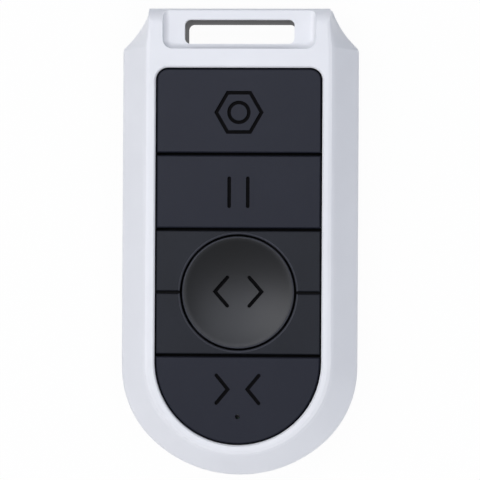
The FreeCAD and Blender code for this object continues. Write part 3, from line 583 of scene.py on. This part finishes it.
def engraved_key(node, draw_sign, material, floor, dish_depth=0.0):
    """The key with its sign cut in down to the floor height, its cut faces near-black."""
    name = "engraved_" + node
    key = new_piece(name, merged_copy(name, node))
    if dish_depth:
        key.data = dished_mesh(key, dish_depth)
    key.data.materials.clear()
    key.data.materials.append(material)
    key.data.materials.append(GROOVE_BLACK)
    form = bmesh.new()
    draw_sign(form, floor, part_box(node)[1].z + 1.0 * MM)
    cutter = new_piece("sign_cutter", form_mesh("sign_cutter", form))
    cutter.data.materials.append(GROOVE_BLACK)
    cut = key.modifiers.new("Sign", "BOOLEAN")
    cut.operation = "DIFFERENCE"
    cut.solver = "EXACT"
    cut.material_mode = "TRANSFER"
    cut.object = cutter
    mesh = finished_mesh(key)
    key.modifiers.clear()
    key.data = mesh
    bpy.data.objects.remove(cutter)
    crease(mesh, 25)
    # The walls, flanges and tabs below the face are painted near-black as painted shade, so the
    # gaps look black.
    painted_shade_height = key_top - FLANGE_DROP * MM
    paint(mesh, CHASSIS_AND_GAP_SHADE_ABS, lambda p: p.z < painted_shade_height and p.z < floor - NEAR_ENOUGH * MM)
    if dish_depth:
        # The round key's outer wall is painted near-black too, as painted shade.
        paint(mesh, CHASSIS_AND_GAP_SHADE_ABS, lambda p: p.z < painted_shade_height and from_axis(p) > WALL_REACH * MM)
        # The key's rim bevel gets a painted highlight.
        paint_highlight_ring(mesh, *KEY_BEVEL)
    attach(key, node.replace("_key", "_button"))
    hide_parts(node)


dish_depth = DISH_DEPTH * MM
flat_floor = key_top - GROOVE_DEPTH * MM
dish_floor = key_top - dish_depth - GROOVE_DEPTH * MM
engraved_key("settings_key", settings_sign, KEY_ABS, flat_floor)
engraved_key("pause_key", pause_sign, KEY_ABS, flat_floor)
# The round key's dish gets the darker ABS with painted shade.
engraved_key("open_key", open_sign, SHADED_DISH_ABS, dish_floor, dish_depth)
engraved_key("close_key", close_sign, KEY_ABS, flat_floor)


# Centre panel


def make_panel():
    """The centre panel with the floors of its two grooves and its hidden flange painted near-black
    as painted shade.
    """
    panel = new_piece("grooved_panel", merged_copy("grooved_panel", "centre_panel"))
    panel.data.materials.append(PANEL_ABS)
    painted_shade_height = key_top - BEVEL_DROP * MM
    # The groove floors and the flange below get painted shade.
    paint(panel.data, CHASSIS_AND_GAP_SHADE_ABS, lambda p: p.z < painted_shade_height)
    # The bore bevel of the panel gets a painted highlight.
    paint_highlight_ring(panel.data, *BORE_BEVEL)
    crease(panel.data, 25)
    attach(panel, "housing")
    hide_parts("centre_panel")


make_panel()


# Housing screws, in millimetres

HEAD_RADIUS = 1.6
HEAD_HEIGHT = 1.1
SHANK_RADIUS = 0.85
RECESS_WIDTH = 0.5
BEVEL_SHARE = 0.35


def screw_tree():
    """A screw with a bevelled pan head and a cross recess, set at each point."""
    tree = bpy.data.node_groups.new("Housing screws", "GeometryNodeTree")
    given = add_inputs(tree, {
        "Places": "Geometry",
        "Head radius": "Float",
        "Head height": "Float",
        "Shank radius": "Float",
        "Shank length": "Float",
        "Recess width": "Float",
        "Plating": "Material",
    })
    tree.interface.new_socket("Screws", in_out="OUTPUT", socket_type="NodeSocketGeometry")

    def times(value, factor):
        return add(tree, "ShaderNodeMath", {0: value, 1: factor}, operation="MULTIPLY").outputs[0]

    def plus(value, other):
        return add(tree, "ShaderNodeMath", {0: value, 1: other}, operation="ADD").outputs[0]

    def lifted(mesh, height):
        offset = add(tree, "ShaderNodeCombineXYZ", {"Z": height}).outputs[0]
        moved = add(tree, "GeometryNodeTransform", {"Geometry": mesh, "Translation": offset})
        return moved.outputs[0]

    bevel_height = times(given["Head height"], BEVEL_SHARE)
    rim_height = times(given["Head height"], 1 - BEVEL_SHARE)
    bevel = add(
        tree,
        "GeometryNodeMeshCone",
        {
            "Vertices": 48,
            "Radius Top": given["Head radius"],
            "Radius Bottom": times(given["Head radius"], 0.8),
            "Depth": bevel_height,
        },
    )
    rim = add(
        tree,
        "GeometryNodeMeshCylinder",
        {"Vertices": 48, "Radius": given["Head radius"], "Depth": rim_height},
    )
    shank = add(
        tree,
        "GeometryNodeMeshCylinder",
        {"Vertices": 32, "Radius": given["Shank radius"], "Depth": given["Shank length"]},
    )
    rim_middle = plus(bevel_height, times(rim_height, 0.5))
    shank_middle = plus(given["Head height"], times(given["Shank length"], 0.5))
    solid = add(tree, "GeometryNodeMeshBoolean", operation="UNION")
    for mesh in (
        bevel.outputs["Mesh"],
        lifted(rim.outputs["Mesh"], rim_middle),
        lifted(shank.outputs["Mesh"], shank_middle),
    ):
        tree.links.new(mesh, solid.inputs["Mesh 2"])
    recess_reach = times(given["Head radius"], 1.1)
    recess_depth = times(given["Head height"], 1.2)
    bars = []
    for size in (
        {"X": recess_reach, "Y": given["Recess width"], "Z": recess_depth},
        {"X": given["Recess width"], "Y": recess_reach, "Z": recess_depth},
    ):
        box_size = add(tree, "ShaderNodeCombineXYZ", size).outputs[0]
        bars.append(add(tree, "GeometryNodeMeshCube", {"Size": box_size}).outputs["Mesh"])
    driven = add(
        tree,
        "GeometryNodeMeshBoolean",
        {"Mesh 1": solid.outputs["Mesh"]},
        operation="DIFFERENCE",
    )
    for bar in bars:
        tree.links.new(bar, driven.inputs["Mesh 2"])
    placed = add(
        tree,
        "GeometryNodeInstanceOnPoints",
        {"Points": given["Places"], "Instance": driven.outputs["Mesh"]},
    )
    real = add(tree, "GeometryNodeRealizeInstances", {"Geometry": placed.outputs[0]})
    painted = add(
        tree,
        "GeometryNodeSetMaterial",
        {"Geometry": real.outputs[0], "Material": given["Plating"]},
    )
    add(tree, "NodeGroupOutput", {"Screws": painted.outputs[0]})
    return tree


def make_screws():
    """The three screws, set where the CAD group has its heads."""
    low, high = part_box("housing_screws")
    head_radius = HEAD_RADIUS * MM
    head_height = HEAD_HEIGHT * MM
    places = [
        (low.x + head_radius, high.y - head_radius, low.z),
        (high.x - head_radius, high.y - head_radius, low.z),
        (0, low.y + head_radius, low.z),
    ]
    mesh = bpy.data.meshes.new("driven_screws")
    mesh.from_pydata(places, [], [])
    screws = new_piece("driven_screws", mesh)
    screws.data = grown(screws, screw_tree(), {
        "Head radius": head_radius,
        "Head height": head_height,
        "Shank radius": SHANK_RADIUS * MM,
        "Shank length": high.z - low.z - head_height,
        "Recess width": RECESS_WIDTH * MM,
        "Plating": SCREW_ZINC,
    })
    crease(screws.data, 30)
    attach(screws, "housing")
    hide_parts("housing_screws")


make_screws()


# Finishes of the CAD nodes

FINISHES = {
    "front_frame": FRAME_ABS,
    "rear_cover": REAR_ABS,
    "battery_cap": CAP_ABS,
    "key_chassis": CHASSIS_AND_GAP_SHADE_ABS,
    "circuit_board": BOARD_LAMINATE,
    "microcontroller": CHIP_EPOXY,
    "radio_chip": CHIP_EPOXY,
    "crystal": CRYSTAL_STEEL,
    "status_light": LENS_EPOXY,
    "capacitors": CAPACITOR_CERAMIC,
    "antenna": ANTENNA_COPPER,
    "coin_cell": CELL_NICKEL,
    "negative_contact": CONTACT_NICKEL,
    "positive_contact": CONTACT_NICKEL,
}
for key in ("settings", "pause", "open", "close"):
    FINISHES[key + "_switch"] = SWITCH_NYLON
    FINISHES[key + "_plunger"] = PLUNGER_ACETAL
for node, finish in FINISHES.items():
    for slot in nodes[node].material_slots:
        slot.material = finish


# Floor, backdrop and light


def seen(tree):
    """1 for rays that show the background itself: from the camera, a gloss or through glass."""
    path = add(tree, "ShaderNodeLightPath").outputs
    both = add(
        tree,
        "ShaderNodeMath",
        {0: path["Is Camera Ray"], 1: path["Is Glossy Ray"]},
        operation="MAXIMUM",
    )
    return add(
        tree,
        "ShaderNodeMath",
        {0: both.outputs[0], 1: path["Is Transmission Ray"]},
        operation="MAXIMUM",
    ).outputs[0]


def make_floor():
    """A plain white table top that keeps a faint shadow."""
    material = new_material("White table top")
    tree = material.node_tree
    paint = add(tree, "ShaderNodeBsdfDiffuse", {"Color": colour("f4f4f4")})
    glow = add(tree, "ShaderNodeEmission", {"Color": colour("ffffff"), "Strength": 1.0})
    glow_share = 0.97
    share = add(tree, "ShaderNodeMath", {0: seen(tree), 1: glow_share}, operation="MULTIPLY")
    mixed = add(
        tree,
        "ShaderNodeMixShader",
        {0: share.outputs[0], 1: paint.outputs[0], 2: glow.outputs[0]},
    )
    output(tree, mixed)
    form = bmesh.new()
    bmesh.ops.create_grid(form, x_segments=1, y_segments=1, size=2.0)
    floor = new_piece("table_top", form_mesh("table_top", form))
    floor.data.materials.append(material)


def make_world(level):
    """A bluish tent that lights the object from all round, in front of a white background."""
    world = bpy.data.worlds.new("Light tent")
    bpy.context.scene.world = world
    world.use_nodes = True
    tree = world.node_tree
    tree.nodes.clear()
    tent = add(tree, "ShaderNodeBackground", {"Color": colour("e4edff"), "Strength": level})
    white = add(tree, "ShaderNodeBackground", {"Color": colour("ffffff"), "Strength": 1.0})
    mixed = add(
        tree,
        "ShaderNodeMixShader",
        {0: seen(tree), 1: tent.outputs[0], 2: white.outputs[0]},
    )
    add(tree, "ShaderNodeOutputWorld", {"Surface": mixed.outputs[0]})


def aim(thing, place, target, up=(0, 1, 0)):
    """Sets a lamp or camera at a place, looking at the target."""
    way = (Vector(target) - Vector(place)).normalized()
    right = way.cross(Vector(up)).normalized()
    top = right.cross(way)
    turn = Matrix((right, top, -way)).transposed()
    thing.matrix_world = Matrix.Translation(place) @ turn.to_4x4()


def add_lamp(name, place, size, level, tint, width=None):
    """A soft box. Its level is the share of full white that it gives a surface facing it."""
    reach = Vector(place).length
    data = bpy.data.lights.new(name, "AREA")
    data.shape = "RECTANGLE"
    data.size = width or size
    data.size_y = size
    data.energy = level * math.pi ** 2 * reach ** 2
    data.color = colour(tint)[:3]
    lamp = bpy.data.objects.new(name, data)
    bpy.context.scene.collection.objects.link(lamp)
    aim(lamp, place, (0, 0, 0))
    return lamp


def make_camera():
    """Nearly straight above, a little towards +X, as the photograph was taken."""
    data = bpy.data.cameras.new("Camera")
    data.sensor_width = 36.0
    plane_height = 6.0 * MM
    distance = 430 * MM
    photo_pixels = 480
    pixel_size = 0.1722 * MM
    seen_width = photo_pixels * pixel_size
    data.lens = 36.0 * distance / seen_width
    data.clip_start = 0.01
    target = Vector((0.0, 0.39 * MM, plane_height))
    tilt = math.radians(2.8)
    place = target + Vector((math.sin(tilt), 0, math.cos(tilt))) * distance
    roll = math.radians(0.3)
    camera = bpy.data.objects.new("Camera", data)
    bpy.context.scene.collection.objects.link(camera)
    aim(camera, place, target, up=(-math.sin(roll), math.cos(roll), 0))
    bpy.context.scene.camera = camera


make_floor()
make_world(0.39)
add_lamp("Side soft box", (-0.55, 0.17, 0.38), 0.40, 0.16, "fffcf8")
add_lamp("Top soft box", (-0.33, 0.15, 0.67), 0.30, 0.26, "fffcf8", width=0.42)
# A wide card overhead that shows only as a gloss on the keys and in the dish.
card = add_lamp("Overhead card", (-0.15, 0.19, 0.72), 0.50, 1.20, "eef3ff", width=0.85)
card.visible_diffuse = False
# The near box brightens the round end. The dish would show it, so it casts no gloss.
near = add_lamp("Near soft box", (0.10, -0.21, 0.36), 0.30, 0.38, "fffcf8")
near.visible_glossy = False
make_camera()
bpy.context.scene.view_settings.view_transform = "Standard"
